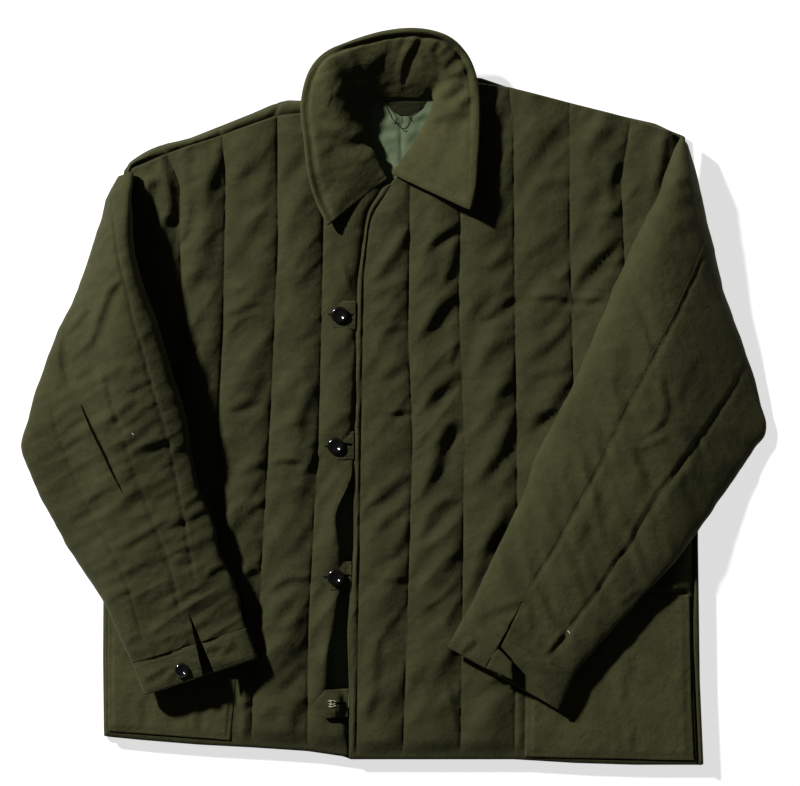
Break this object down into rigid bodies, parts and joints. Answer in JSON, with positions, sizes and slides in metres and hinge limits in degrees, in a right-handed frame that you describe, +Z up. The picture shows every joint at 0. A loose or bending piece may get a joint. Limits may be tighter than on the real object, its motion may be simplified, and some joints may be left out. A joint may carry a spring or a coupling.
{
  "type": "padded jacket",
  "caption": "Padded, channel-quilted work jacket laid flat on its back, open at the neck, sleeves folded over the fronts.",
  "frame": {"origin": "on the surface the jacket lies on, below the middle of its outline", "axes": "+X towards the wearer's left, +Y towards the collar, +Z up from the surface"},
  "size_m": [0.812, 0.8041, 0.0751],
  "materials": {
    "shell": "matt olive cotton, quilted over padding",
    "trim": "matt olive cotton, stitched flat",
    "lining": "pale green plain-weave lining, faint sheen",
    "button": "glossy black"
  },
  "bodies": {
    "root": {"back": "shell", "front_right": "shell", "front_left": "shell", "pocket_right": "shell", "pocket_left": "shell", "sleeve_right": "shell", "sleeve_left": "shell", "collar": "shell", "hanging_loop": "shell", "cuff_right": "trim", "cuff_left": "trim", "cuff_left_underlap": "trim", "button_tab_1": "trim", "button_tab_2": "trim", "button_tab_3": "trim", "button_tab_4": "trim", "back_lining": "lining", "button_1": "button", "button_2": "button", "button_3": "button", "button_4": "button", "cuff_button_right": "button"}
  },
  "joints": []
}
